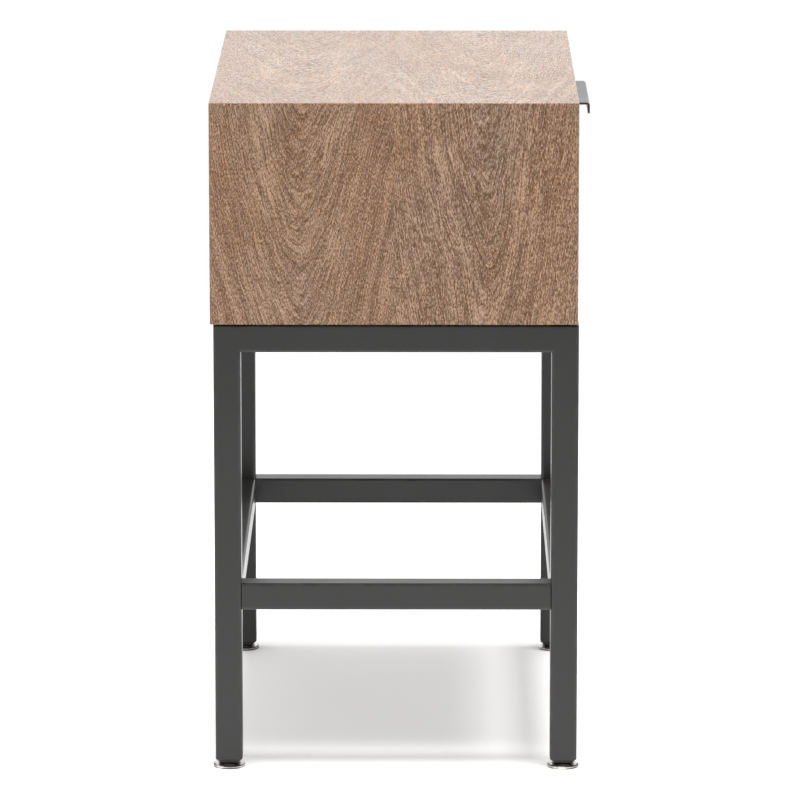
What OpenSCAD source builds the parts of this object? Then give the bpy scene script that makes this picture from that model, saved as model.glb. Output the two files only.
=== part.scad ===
// Side table with one drawer: a mitred, oak-veneered case on a square-tube steel frame.
// X runs to the table's right, Y to its back and Z up. The floor is z = 0, and the
// origin is under the middle of the whole table, pull included. Millimetres.

/* [Overall] */
// Width of the case, side to side
case_w = 508; // [420:1:650]
// Depth of the case, front to back
case_d = 343; // [285:1:450]
// Height of the table top above the floor
table_h = 635; // [520:1:780]
// Height of the case, from its underside to the table top
case_h = 208; // [170:1:260]

/* [Case] */
// Thickness of the top, side and bottom panels
panel_t = 22; // [18:0.5:28]
// Thickness of the back panel
back_t = 9; // [6:0.5:12]
// Distance from the back panel to the case's back edge
back_setback = 12; // [8:1:20]
// Depth of the groove round the back panel
groove_depth = 6; // [4:0.5:9]
// Radius that eases the two long top edges
edge_r = 1; // [0.5:0.25:2]
// Width of the loose tongue in each mitre
spline_w = 10; // [6:1:12]
// Thickness of the loose tongue in each mitre
spline_t = 4; // [3:0.5:5]
// Diameter of the dowels between the bottom and side panels
case_dowel_d = 8; // [6:1:10]
// Length of the dowels between the bottom and side panels
case_dowel_l = 30; // [24:1:32]

/* [Drawer] */
// Thickness of the drawer front
front_t = 18; // [15:0.5:22]
// Gap between the drawer front and each side panel
side_gap = 2; // [1:0.25:4]
// Gap between the drawer front and the top panel
top_gap = 3.5; // [2:0.25:6]
// Gap between the drawer front and the bottom panel
bottom_gap = 2; // [1:0.25:4]
// Thickness of the drawer box's four walls
box_t = 12; // [10:0.5:16]
// Thickness of the drawer box's bottom
box_bottom_t = 6; // [4:0.5:9]
// Height of the box's bottom above the lower edge of its walls
box_bottom_rise = 10; // [6:1:16]
// Clear height between the bottom panel and the drawer box
box_space_below = 12; // [6:1:20]
// Clear height between the drawer box and the top panel
box_space_above = 38; // [36:1:50]
// Free depth between the drawer box and the back panel
box_space_behind = 4; // [3.5:0.25:8]
// Diameter of the drawer box's dowels
box_dowel_d = 6; // [5:0.5:6]
// Length of the drawer box's dowels
box_dowel_l = 22; // [18:1:26]
// Diameter of the two rubber bumpers behind the drawer
bumper_d = 12; // [8:1:16]
// Thickness of the rubber bumpers
bumper_t = 3; // [2:0.25:3.25]

/* [Pull] */
// Length of the pull, side to side
pull_l = 149; // [100:1:250]
// Thickness of the pull's sheet
pull_t = 2; // [1.5:0.25:3]
// How far the pull stands out in front of the case
pull_reach = 14.6; // [12:0.1:20]
// Height of the pull's front lip
pull_lip_h = 10.4; // [8:0.1:14]
// Height of the pull's leg behind the drawer front
pull_leg_h = 24; // [20:1:28]
// Outer radius of the pull's two bends
pull_bend_r = 3; // [3:0.25:4]

/* [Slides] */
// Height of the case member
slide_h = 45; // [40:1:50]
// Width of a closed slide, from side panel to drawer box
slide_w = 12.7; // [12.7:0.1:14]
// Thickness of the slides' steel sheet
sheet_t = 1.2; // [1:0.1:1.3]
// Diameter of the bearing balls
ball_d = 3; // [2.8:0.1:3.2]
// Free space on each side of a ball
ball_clear = 0.35; // [0.3:0.05:0.4]
// Distance between two balls in a row
ball_pitch = 18; // [10:1:30]
// Thickness of the ball cages
cage_t = 0.6; // [0.5:0.1:0.7]
// Free space on each side of a cage's web
cage_clear = 0.4; // [0.3:0.05:0.5]
// Length that stays engaged beyond half when the drawer is fully out
slide_reserve = 10; // [6:1:30]

/* [Frame] */
// Side of the square steel tube
tube_w = 25.4; // [20:0.1:32]
// Wall thickness of the tube
tube_wall = 1.5; // [1.2:0.1:2]
// Outer corner radius of the tube
tube_r = 2; // [1:0.25:3]
// How far the frame is set in from each side of the case
frame_side_inset = 1.5; // [0:0.5:6]
// How far the frame stands in front of the case
frame_front_proud = 1; // [0:0.5:3]
// How far the frame is set in from the back of the case
frame_back_inset = 3; // [0:0.5:8]
// Thickness of the washers between the frame and the case
shadow_gap = 1.5; // [1:0.25:4]
// Height of the stretchers' underside above the floor
stretcher_z = 154; // [80:1:220]
// Distance from the middle of the table to the outer frame bolts
bolt_spread = 150; // [100:1:170]

/* [Levelling glides] */
// Diameter of the glide's base
glide_d = 30; // [24:1:36]
// Height of the glide's base
glide_h = 5; // [5:0.5:10]
// Height of the base's rim
glide_rim_h = 3; // [2.5:0.1:4]
// Diameter of the raised middle of the base
glide_boss_d = 18; // [14:1:22]
// Height of the tapered collar under each leg
collar_h = 5; // [3:0.5:6]
// Width of the collar at its lower end
collar_low_w = 19; // [16:0.5:20]
// Depth of the plug inside the leg
plug_depth = 18; // [14:1:24]
// Diameter of the threaded stem
stem_d = 8; // [6:0.5:8]
// Length of the threaded stem
stem_l = 43; // [34:1:60]

/* [Hidden] */
$fn = 48;

// A margin that carries a cut clear of the face it starts from
cut = 1;

// Case planes
case_x = case_w / 2;
inner_x = case_x - panel_t;
y_front = -(case_d + pull_reach) / 2 + pull_reach;
y_back = y_front + case_d;
z_case = table_h - case_h;
z_floor = z_case + panel_t;
z_ceiling = table_h - panel_t;
y_back_panel = y_back - back_setback - back_t;
groove_play = 0.5;
spline_end_space = 15;
case_dowel_in_side = 12;
case_dowels_per_side = 4;
case_dowel_end_space = 40;

// Drawer planes
y_box = y_front + front_t;
box_l = y_back_panel - box_space_behind - y_box;
box_x = inner_x - slide_w;
z_box = z_floor + box_space_below;
z_box_top = z_ceiling - box_space_above;
z_box_bottom = z_box + box_bottom_rise;
front_x = inner_x - side_gap;
z_front = z_floor + bottom_gap;
z_front_top = z_ceiling - top_gap;
box_groove = box_t / 2 - 1;
box_dowel_in_wall = 8;
pull_side_play = 0.3;

// Slides: the standard lengths run in steps of 50
slide_step = 50;
slide_l = floor(box_l / slide_step) * slide_step;
slide_travel = slide_l - slide_reserve;
slide_z = (z_box + z_box_top) / 2;
race = ball_d + 2 * ball_clear;
flange_case = slide_h / 2 - sheet_t;
flange_middle = flange_case - race;
flange_drawer = flange_middle - sheet_t - race;
middle_x = sheet_t + cage_t + 2 * cage_clear;
inner_cage_x = middle_x + sheet_t + cage_clear;
drawer_flange_x = inner_cage_x + cage_t + cage_clear;
outer_ball_x = 6;
inner_ball_x = 8;
case_flange_end = 9.5;
middle_flange_end = slide_w - 1.5;
lip_t = 0.7;
lip_drop = 1;
outer_cage_end = case_flange_end - lip_t - 0.3;
inner_cage_end = slide_w - sheet_t - 1;
cage_l = slide_l / 2 - slide_reserve;
cage_y = (slide_l - cage_l) / 2;
balls_per_row = floor((cage_l - 12) / ball_pitch) + 1;
hole_clear = 0.2;
case_screw_y = [32, slide_l - 38];
drawer_screw_y = [24, slide_l - 30];
access_d = 9;

// Frame planes
leg_x = case_x - frame_side_inset - tube_w / 2;
frame_y_front = y_front - frame_front_proud;
frame_y_back = y_back - frame_back_inset;
leg_y_front = frame_y_front + tube_w / 2;
leg_y_back = frame_y_back - tube_w / 2;
z_leg = glide_h + collar_h;
z_frame = z_case - shadow_gap;
rail_x = leg_x - tube_w / 2;
tube_inner = tube_w - 2 * tube_wall;
corner_steps = 4;
bolt_x = [-bolt_spread, 0, bolt_spread];
bolt_d = 6;
bolt_l = 20;
bolt_head_d = 10;
bolt_head_h = 6;
bolt_hole_d = 6.6;
access_hole_d = 13;
cap_flange_d = 17;
cap_flange_t = 1.5;
cap_depth = 3;
washer_d = 18;
insert_d = 9;
insert_l = 13;
bolt_end_play = 1;

// Glide details
nut_af = 13;
nut_h = 6.5;
thread_play = 0.06;
plug_bore_play = 0.3;
stem_seat = 3;
stem_seat_play = 0.1;

// Screws: head diameter, shank diameter, head height, length
slide_screw = [6.4, 3.6, sheet_t, 11];
pull_screw = [6, 3, 1.6, 12];
front_screw = [8, 4, 2.5, 25];
screw_tip = 2;
pull_screw_drop = 14;
pull_screw_spread = pull_l / 2 - 20;
front_screw_x = box_x - box_t - 50;
front_screw_z = 26;

// ---------- shared shapes ----------

// Corner points of a square with rounded corners, centred on the origin
function rounded_square(w, r) = [
    for (q = [0:3]) for (i = [0:corner_steps])
        let (a = 90 * q + 90 * i / corner_steps,
             cx = (w / 2 - r) * (q == 0 || q == 3 ? 1 : -1),
             cy = (w / 2 - r) * (q < 2 ? 1 : -1))
        [cx + r * cos(a), cy + r * sin(a)]
];

// Points of an arc about c, from angle a0 to a1
function arc(c, r, a0, a1) = [
    for (i = [0:corner_steps])
        let (a = a0 + (a1 - a0) * i / corner_steps)
        [c[0] + r * cos(a), c[1] + r * sin(a)]
];

// A box between two corners
module block(low, high) {
    translate(low) cube(high - low);
}

// Extrudes an outline drawn in X and Z from y0 to y1
module along_y(y0, y1) {
    translate([0, y1, 0]) rotate([90, 0, 0]) linear_extrude(y1 - y0) children();
}

// Extrudes an outline drawn in Y and Z from x0 to x1
module along_x(x0, x1) {
    translate([x0, 0, 0]) rotate([90, 0, 90]) linear_extrude(x1 - x0) children();
}

// Square tube of length l, standing on z = 0
module tube(l) {
    linear_extrude(l) difference() {
        polygon(rounded_square(tube_w, tube_r));
        square(tube_inner, center = true);
    }
}

// Puts its child at the left or the right of the table, drawn for the left
module on_side(right) {
    if (right) mirror([1, 0, 0]) children();
    else children();
}

// Countersunk screw whose head starts at z = 0 and whose point is at z = length
module flat_screw(s) {
    rotate_extrude() polygon([
        [0, 0], [s[0] / 2, 0], [s[1] / 2, s[2]],
        [s[1] / 2, s[3] - screw_tip], [0, s[3]]
    ]);
}

// Pan-head screw whose head rests on z = 0 and whose point is at z = length
module pan_screw(s) {
    rotate_extrude() polygon([
        [0, -s[2]], [s[0] / 2 - 0.8, -s[2]], [s[0] / 2, -s[2] + 0.8], [s[0] / 2, 0],
        [s[1] / 2, 0], [s[1] / 2, s[3] - screw_tip], [0, s[3]]
    ]);
}

// ---------- frame ----------

// Leg, cut at 45 degrees at its top to meet the side rail
module leg(at_back, right) {
    y = at_back ? leg_y_back : leg_y_front;
    side = at_back ? -1 : 1;
    outer = y - side * (tube_w / 2 + cut);
    inner = y + side * (tube_w / 2 + cut);
    color("#4a4846") on_side(right) intersection() {
        translate([-leg_x, y, z_leg]) tube(z_frame - z_leg);
        along_x(-leg_x - tube_w, -leg_x + tube_w) polygon([
            [outer, z_leg - cut], [outer, z_frame + cut],
            [inner, z_frame - tube_w - cut], [inner, z_leg - cut]
        ]);
    }
}

// Top rail along the side, cut at 45 degrees at both ends
module side_rail(right) {
    color("#3e3d3b") on_side(right) intersection() {
        translate([-leg_x, frame_y_front, z_frame - tube_w / 2])
            rotate([-90, 0, 0]) tube(frame_y_back - frame_y_front);
        along_x(-leg_x - tube_w, -leg_x + tube_w) polygon([
            [frame_y_front - cut, z_frame + cut], [frame_y_back + cut, z_frame + cut],
            [frame_y_back - tube_w - cut, z_frame - tube_w - cut],
            [frame_y_front + tube_w + cut, z_frame - tube_w - cut]
        ]);
    }
}

// Top rail across the front or the back, drilled for the case bolts
module cross_rail(y) {
    color("#3e3d3b") difference() {
        translate([-rail_x, y, z_frame - tube_w / 2]) rotate([0, 90, 0]) tube(2 * rail_x);
        for (x = bolt_x) translate([x, y, 0]) {
            translate([0, 0, z_frame - tube_w / 2]) cylinder(d = bolt_hole_d, h = tube_w);
            translate([0, 0, z_frame - tube_w - cut])
                cylinder(d = access_hole_d, h = tube_wall + 2 * cut);
        }
    }
}

// Low stretcher between the legs of one side
module side_stretcher(right) {
    color("#504e4c") on_side(right)
        translate([-leg_x, leg_y_front + tube_w / 2, stretcher_z + tube_w / 2])
            rotate([-90, 0, 0]) tube(leg_y_back - leg_y_front - tube_w);
}

// Low stretcher across the front or the back
module cross_stretcher(y) {
    color("#504e4c") translate([-rail_x, y, stretcher_z + tube_w / 2])
        rotate([0, 90, 0]) tube(2 * rail_x);
}

// Places its child at each of the four legs' axes, on the floor
module at_legs() {
    for (x = [-leg_x, leg_x], y = [leg_y_front, leg_y_back]) translate([x, y, 0]) children();
}

// Outline of the plug seen from the side: tapered collar below, square body above
module plug_outline() {
    polygon([
        [-collar_low_w / 2, glide_h], [collar_low_w / 2, glide_h],
        [tube_w / 2, z_leg], [tube_inner / 2, z_leg], [tube_inner / 2, z_leg + plug_depth],
        [-tube_inner / 2, z_leg + plug_depth], [-tube_inner / 2, z_leg], [-tube_w / 2, z_leg]
    ]);
}

// Hexagon of the nut that is set in the plug
module nut_prism(h) {
    cylinder(d = nut_af / cos(30), h = h, $fn = 6);
}

// Four black plastic plugs that close the legs and hold the glides' nuts
module leg_plugs() {
    color("#1c1c1c") at_legs() difference() {
        intersection() {
            along_x(-tube_w, tube_w) plug_outline();
            along_y(-tube_w, tube_w) plug_outline();
        }
        cylinder(d = stem_d + 2 * plug_bore_play, h = z_leg + plug_depth + cut);
        translate([0, 0, z_leg + plug_depth - nut_h]) nut_prism(nut_h + cut);
    }
}

// Four hexagon nuts in the plugs
module plug_nuts() {
    color("#b8b6b0") at_legs() translate([0, 0, z_leg + plug_depth - nut_h]) difference() {
        nut_prism(nut_h);
        translate([0, 0, -cut]) cylinder(d = stem_d + 2 * thread_play, h = nut_h + 2 * cut);
    }
}

// Round nickel base of a glide, with a seat for the stem's lower end
module glide_base(x, y) {
    seat_r = stem_d / 2 + thread_play;
    color("#a9a59c") translate([x, y, 0]) rotate_extrude() polygon([
        [0, 0], [glide_d / 2 - 0.8, 0], [glide_d / 2, 0.8], [glide_d / 2, glide_rim_h - 0.8],
        [glide_d / 2 - 0.8, glide_rim_h], [glide_boss_d / 2, glide_h - 0.2], [seat_r + 1, glide_h - 0.2],
        [seat_r, glide_h - 1.2], [seat_r, glide_h - stem_seat], [0, glide_h - stem_seat]
    ]);
}

// Threaded stem of a glide, held in its base and run through the plug's nut
module glide_stem(x, y) {
    color("#b8b6b0") translate([x, y, glide_h - stem_seat + stem_seat_play])
        rotate_extrude() polygon([
            [0, 0], [stem_d / 2 - 0.5, 0], [stem_d / 2, 0.5],
            [stem_d / 2, stem_l - 1], [stem_d / 2 - 1, stem_l], [0, stem_l]
        ]);
}

// Places its child on the frame's top at each case bolt
module at_bolts() {
    for (x = bolt_x, y = [leg_y_front, leg_y_back]) translate([x, y, z_frame]) children();
}

// Fibre washers that hold the case clear of the frame
module frame_washers() {
    color("#161616") at_bolts() difference() {
        cylinder(d = washer_d, h = shadow_gap);
        translate([0, 0, -cut]) cylinder(d = bolt_hole_d, h = shadow_gap + 2 * cut);
    }
}

// Socket-head bolts that run up from inside the rails into the bottom panel
module frame_bolts() {
    key_af = 5;
    color("#2a2a2a") at_bolts() translate([0, 0, -tube_wall]) difference() {
        union() {
            translate([0, 0, -bolt_head_h]) cylinder(d = bolt_head_d, h = bolt_head_h);
            cylinder(d = bolt_d, h = bolt_l - tube_wall - shadow_gap);
        }
        translate([0, 0, -bolt_head_h - cut])
            cylinder(d = key_af / cos(30), h = bolt_head_h / 2 + cut, $fn = 6);
    }
}

// Threaded brass inserts in the bottom panel
module frame_inserts() {
    color("#b59a55") at_bolts() translate([0, 0, shadow_gap]) difference() {
        cylinder(d = insert_d, h = insert_l);
        translate([0, 0, -cut]) cylinder(d = bolt_d, h = insert_l + 2 * cut);
    }
}

// Push-in plastic caps under the rails' access holes
module rail_hole_caps() {
    color("#1c1c1c") at_bolts() translate([0, 0, -tube_w]) difference() {
        union() {
            translate([0, 0, -cap_flange_t]) cylinder(d = cap_flange_d, h = cap_flange_t);
            cylinder(d = access_hole_d, h = cap_depth);
        }
        cylinder(d = access_hole_d - 3, h = cap_depth + cut);
    }
}

// ---------- case ----------

// Room for the back panel's edges in the panels round it
module back_groove() {
    block([-inner_x - groove_depth, y_back_panel, z_floor - groove_depth],
          [inner_x + groove_depth, y_back_panel + back_t, z_ceiling + groove_depth]);
}

// Hardwood tongue in the middle of each mitre
module mitre_splines() {
    color("#c9a878") for (side = [-1, 1])
        along_y(y_front + spline_end_space, y_back - spline_end_space)
            translate([side * (case_x - panel_t / 2), table_h - panel_t / 2])
                rotate(-45 * side) square([spline_w, spline_t], center = true);
}

// Dowels that tie the bottom panel to the side panels
module case_dowels() {
    run = case_d - back_setback - back_t - 2 * case_dowel_end_space;
    color("#d8bd92") for (right = [false, true], i = [0:case_dowels_per_side - 1])
        on_side(right)
            translate([-inner_x - case_dowel_in_side,
                       y_front + case_dowel_end_space + i * run / (case_dowels_per_side - 1),
                       z_case + panel_t / 2])
                rotate([0, 90, 0]) cylinder(d = case_dowel_d, h = case_dowel_l);
}

// Top panel, mitred at both ends so that the veneer turns down over the sides
module top_panel() {
    color("#d4c3b3") difference() {
        along_y(y_front, y_back) polygon(concat(
            arc([-case_x + edge_r, table_h - edge_r], edge_r, 135, 90),
            arc([case_x - edge_r, table_h - edge_r], edge_r, 90, 45),
            [[inner_x, z_ceiling], [-inner_x, z_ceiling]]
        ));
        mitre_splines();
        back_groove();
    }
}

// Side panel, mitred at its top and plain at its foot
module side_panel(right) {
    color("#987964") difference() {
        on_side(right) along_y(y_front, y_back) polygon(concat(
            [[-inner_x, z_case], [-case_x, z_case]],
            arc([-case_x + edge_r, table_h - edge_r], edge_r, 180, 135),
            [[-inner_x, z_ceiling]]
        ));
        mitre_splines();
        case_dowels();
        back_groove();
        slide_case_screws();
    }
}

// Bottom panel between the side panels
module bottom_panel() {
    color("#987964") difference() {
        block([-inner_x, y_front, z_case], [inner_x, y_back, z_floor]);
        case_dowels();
        back_groove();
        at_bolts() translate([0, 0, shadow_gap - cut])
            cylinder(d = insert_d, h = insert_l + cut);
        at_bolts() cylinder(d = bolt_d, h = bolt_l - tube_wall + bolt_end_play);
    }
}

// Back panel, held in the groove of the four panels round it
module back_panel() {
    reach = groove_depth - groove_play;
    color("#8d705c")
        block([-inner_x - reach, y_back_panel, z_floor - reach],
              [inner_x + reach, y_back_panel + back_t, z_ceiling + reach]);
}

// ---------- slides ----------

// Places a slide's child, drawn with X from the side panel towards the drawer,
// Y from the slide's front end and Z from its middle
module at_slide(right) {
    on_side(right) translate([-inner_x, y_box, slide_z]) children();
}

// A channel: a web at x0 and two flanges up to x1, outer height 2 * half
module channel(x0, x1, half, t, l) {
    block([x0, 0, -half], [x0 + t, l, half]);
    for (s = [-1, 1])
        block([x0, 0, s > 0 ? half - t : -half], [x1, l, s > 0 ? half : t - half]);
}

// Screws of a slide's case member, pointing into the side panel
module slide_case_screws() {
    color("#b8b6b0") for (right = [false, true], y = case_screw_y)
        at_slide(right) translate([sheet_t, y, 0]) rotate([0, -90, 0]) flat_screw(slide_screw);
}

// Screws of a slide's drawer member, pointing into the drawer's side
module slide_drawer_screws() {
    color("#b8b6b0") for (right = [false, true], y = drawer_screw_y)
        at_slide(right) translate([slide_w - sheet_t, y, 0])
            rotate([0, 90, 0]) flat_screw(slide_screw);
}

// Case member: the channel screwed to the side panel, with lips over the outer balls
module slide_case_member(right) {
    half = slide_h / 2;
    color("#b9b9b6") difference() {
        at_slide(right) {
            channel(0, case_flange_end, half, sheet_t, slide_l);
            for (s = [-1, 1])
                block([case_flange_end - lip_t, 0, s > 0 ? half - sheet_t - lip_drop : -half],
                      [case_flange_end, slide_l, s > 0 ? half : sheet_t + lip_drop - half]);
        }
        slide_case_screws();
    }
}

// Middle member: the channel that runs on the outer balls and carries the inner ones
module slide_middle_member(right) {
    color("#b9b9b6") difference() {
        at_slide(right)
            channel(middle_x, middle_flange_end, flange_middle, sheet_t, slide_l);
        at_slide(right) for (y = case_screw_y)
            translate([middle_x - cut, y, 0]) rotate([0, 90, 0])
                cylinder(d = access_d, h = sheet_t + 2 * cut);
    }
}

// Drawer member: the channel screwed to the drawer's side, open towards the case
module slide_drawer_member(right) {
    color("#b9b9b6") difference() {
        at_slide(right) translate([slide_w, 0, 0]) mirror([1, 0, 0])
            channel(0, slide_w - drawer_flange_x, flange_drawer, sheet_t, slide_l);
        slide_drawer_screws();
    }
}

// Places its child at each ball of a slide's upper and lower rows
module at_balls(right, x, z) {
    first = cage_y + (cage_l - (balls_per_row - 1) * ball_pitch) / 2;
    at_slide(right) for (s = [-1, 1], i = [0:balls_per_row - 1])
        translate([x, first + i * ball_pitch, s * z]) children();
}

// A cage: a thin channel with a round hole for each ball
module cage(right, x0, x1, ball_x, z) {
    color("#d9d4c8") difference() {
        at_slide(right) translate([0, cage_y, 0])
            channel(x0, x1, z + cage_t / 2, cage_t, cage_l);
        at_balls(right, ball_x, z) translate([0, 0, -cage_t])
            cylinder(d = ball_d + 2 * hole_clear, h = 2 * cage_t);
    }
}

module outer_cage(right) {
    cage(right, sheet_t + cage_clear, outer_cage_end, outer_ball_x, flange_case - race / 2);
}

module inner_cage(right) {
    cage(right, inner_cage_x, inner_cage_end, inner_ball_x, flange_drawer + race / 2);
}

module outer_balls(right) {
    color("#d0d0d0") at_balls(right, outer_ball_x, flange_case - race / 2) sphere(d = ball_d);
}

module inner_balls(right) {
    color("#d0d0d0") at_balls(right, inner_ball_x, flange_drawer + race / 2) sphere(d = ball_d);
}

// ---------- drawer ----------

// Screws that hold the drawer front on the box, driven from inside the drawer
module drawer_front_screws() {
    color("#b8b6b0") for (x = [-front_screw_x, front_screw_x],
                          z = [z_box + front_screw_z, z_box_top - front_screw_z])
        translate([x, y_box + box_t, z]) rotate([90, 0, 0]) pan_screw(front_screw);
}

// Screws that hold the pull's leg on the back of the drawer front
module pull_screws() {
    color("#b8b6b0") for (x = [-pull_screw_spread, pull_screw_spread])
        translate([x, y_box + pull_t, z_front_top - pull_screw_drop])
            rotate([90, 0, 0]) pan_screw(pull_screw);
}

// Inset drawer front, notched along its top edge for the pull
module drawer_front() {
    notch_x = pull_l / 2 + pull_side_play;
    color("#987964") difference() {
        block([-front_x, y_front, z_front], [front_x, y_box, z_front_top]);
        block([-notch_x, y_front - cut, z_front_top - pull_t],
              [notch_x, y_box + cut, z_front_top + cut]);
        drawer_front_screws();
        pull_screws();
    }
}

// Edge pull: one bent strip, over the drawer front's top edge and down on both sides
module drawer_pull() {
    r = pull_bend_r;
    inner_r = r - pull_t;
    y0 = y_front - pull_reach;
    y1 = y_box + pull_t;
    top = z_front_top;
    color("#3e3d3b") difference() {
        along_x(-pull_l / 2, pull_l / 2) polygon(concat(
            [[y0, top - pull_lip_h]],
            arc([y0 + r, top - r], r, 180, 90),
            arc([y1 - r, top - r], r, 90, 0),
            [[y1, top - pull_leg_h], [y1 - pull_t, top - pull_leg_h]],
            [[y1 - pull_t, top - pull_t], [y0 + r, top - pull_t]],
            arc([y0 + r, top - r], inner_r, 90, 180),
            [[y0 + pull_t, top - pull_lip_h]]
        ));
        pull_screws();
    }
}

// Dowels at the drawer box's four corners
module drawer_dowels() {
    rows = [z_box + (z_box_top - z_box) * 0.35, z_box_top - (z_box_top - z_box) * 0.15];
    color("#d8bd92") for (right = [false, true], z = rows,
                          y = [y_box + box_t / 2, y_box + box_l - box_t / 2])
        on_side(right) translate([-box_x + box_t - box_dowel_in_wall, y, z])
            rotate([0, 90, 0]) cylinder(d = box_dowel_d, h = box_dowel_l);
}

// Room for the drawer bottom's edges in the four walls
module box_bottom_groove() {
    x = box_x - box_t + box_groove;
    block([-x, y_box + box_t - box_groove, z_box_bottom],
          [x, y_box + box_l - box_t + box_groove, z_box_bottom + box_bottom_t]);
}

module drawer_side(right) {
    color("#d9c4a0") difference() {
        on_side(right)
            block([-box_x, y_box, z_box], [-box_x + box_t, y_box + box_l, z_box_top]);
        box_bottom_groove();
        drawer_dowels();
        slide_drawer_screws();
    }
}

module drawer_box_front() {
    x = box_x - box_t;
    color("#d9c4a0") difference() {
        block([-x, y_box, z_box], [x, y_box + box_t, z_box_top]);
        box_bottom_groove();
        drawer_dowels();
        drawer_front_screws();
    }
}

module drawer_box_back() {
    x = box_x - box_t;
    color("#d9c4a0") difference() {
        block([-x, y_box + box_l - box_t, z_box], [x, y_box + box_l, z_box_top]);
        box_bottom_groove();
        drawer_dowels();
    }
}

module drawer_bottom() {
    reach = box_groove - groove_play;
    x = box_x - box_t + reach;
    color("#e0cfae")
        block([-x, y_box + box_t - reach, z_box_bottom],
              [x, y_box + box_l - box_t + reach, z_box_bottom + box_bottom_t]);
}

// Rubber bumpers on the drawer's back
module drawer_bumpers() {
    color("#2a2a2a") for (x = [-box_x / 2, box_x / 2])
        translate([x, y_box + box_l, slide_z]) rotate([-90, 0, 0])
            cylinder(d = bumper_d, h = bumper_t);
}

// ---------- nodes ----------

leg(false, false);  // leg_front_left
leg(false, true);  // leg_front_right
leg(true, false);  // leg_back_left
leg(true, true);  // leg_back_right
side_rail(false);  // top_rail_left
side_rail(true);  // top_rail_right
cross_rail(leg_y_front);  // top_rail_front
cross_rail(leg_y_back);  // top_rail_back
side_stretcher(false);  // stretcher_left
side_stretcher(true);  // stretcher_right
cross_stretcher(leg_y_front);  // stretcher_front
cross_stretcher(leg_y_back);  // stretcher_back
leg_plugs();
plug_nuts();
glide_base(-leg_x, leg_y_front);  // glide_base_front_left
glide_base(leg_x, leg_y_front);  // glide_base_front_right
glide_base(-leg_x, leg_y_back);  // glide_base_back_left
glide_base(leg_x, leg_y_back);  // glide_base_back_right
glide_stem(-leg_x, leg_y_front);  // glide_stem_front_left
glide_stem(leg_x, leg_y_front);  // glide_stem_front_right
glide_stem(-leg_x, leg_y_back);  // glide_stem_back_left
glide_stem(leg_x, leg_y_back);  // glide_stem_back_right
frame_washers();
frame_bolts();
frame_inserts();
rail_hole_caps();
top_panel();
side_panel(false);  // side_panel_left
side_panel(true);  // side_panel_right
bottom_panel();
back_panel();
mitre_splines();
case_dowels();
slide_case_member(false);  // slide_case_member_left
slide_case_member(true);  // slide_case_member_right
slide_middle_member(false);  // slide_middle_member_left
slide_middle_member(true);  // slide_middle_member_right
slide_drawer_member(false);  // slide_drawer_member_left
slide_drawer_member(true);  // slide_drawer_member_right
outer_cage(false);  // outer_cage_left
outer_cage(true);  // outer_cage_right
inner_cage(false);  // inner_cage_left
inner_cage(true);  // inner_cage_right
outer_balls(false);  // outer_balls_left
outer_balls(true);  // outer_balls_right
inner_balls(false);  // inner_balls_left
inner_balls(true);  // inner_balls_right
slide_case_screws();
slide_drawer_screws();
drawer_front();
drawer_side(false);  // drawer_side_left
drawer_side(true);  // drawer_side_right
drawer_box_front();
drawer_box_back();
drawer_bottom();
drawer_dowels();
drawer_pull();
pull_screws();
drawer_front_screws();
drawer_bumpers();
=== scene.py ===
import bmesh
import bpy
import numpy as np
from mathutils import Matrix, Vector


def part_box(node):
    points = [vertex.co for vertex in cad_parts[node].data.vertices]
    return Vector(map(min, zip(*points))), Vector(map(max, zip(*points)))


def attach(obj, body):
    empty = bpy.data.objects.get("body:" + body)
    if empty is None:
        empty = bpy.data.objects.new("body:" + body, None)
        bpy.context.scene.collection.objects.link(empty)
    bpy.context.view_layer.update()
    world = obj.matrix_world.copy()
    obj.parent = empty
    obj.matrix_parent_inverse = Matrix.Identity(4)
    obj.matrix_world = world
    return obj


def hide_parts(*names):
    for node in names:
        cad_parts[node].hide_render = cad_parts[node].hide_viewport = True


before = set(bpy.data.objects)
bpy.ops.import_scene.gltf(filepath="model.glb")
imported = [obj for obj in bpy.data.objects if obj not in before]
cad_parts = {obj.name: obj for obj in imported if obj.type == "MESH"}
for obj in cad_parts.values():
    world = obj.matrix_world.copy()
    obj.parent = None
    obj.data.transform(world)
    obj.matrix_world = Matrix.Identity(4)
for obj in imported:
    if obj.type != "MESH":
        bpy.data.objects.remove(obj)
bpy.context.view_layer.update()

# Metres throughout. X runs to the table's right, Y to its back and Z up, with the floor at 0.


# ---------- camera ----------
# A long lens looks at the table's left side, level with it and pitched down a little,
# so that the top shows as a shallow band. Nothing is shifted or out of focus.

CAMERA_PLACE = (-5.7795, -0.0211, 1.4406)
CAMERA_PITCH = np.radians(11.11)
CAMERA_YAW = np.radians(0.236)
CAMERA_LENS = 271.6


def aim(place, pitch, yaw):
    """Camera matrix: forward is +X turned by yaw and dropped by pitch, right is level."""
    forward = np.array([np.cos(pitch) * np.cos(yaw), np.cos(pitch) * np.sin(yaw), -np.sin(pitch)])
    right = np.array([np.sin(yaw), -np.cos(yaw), 0.0])
    up = np.cross(right, forward)
    turn = Matrix([right.tolist(), up.tolist(), (-forward).tolist()]).transposed().to_4x4()
    return Matrix.Translation(place) @ turn


camera_data = bpy.data.cameras.new("camera")
camera_data.lens = CAMERA_LENS
camera_data.sensor_width = 36.0
camera_data.clip_end = 60.0
camera = bpy.data.objects.new("camera", camera_data)
camera.matrix_world = aim(CAMERA_PLACE, CAMERA_PITCH, CAMERA_YAW)
bpy.context.collection.objects.link(camera)
bpy.context.scene.camera = camera
bpy.context.scene.view_settings.view_transform = "Standard"


# ---------- light ----------
# An even white studio: a white surround, and one broad soft light high overhead whose
# pool of light on the floor fades two metres out. The light's own glare shows nowhere.

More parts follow.
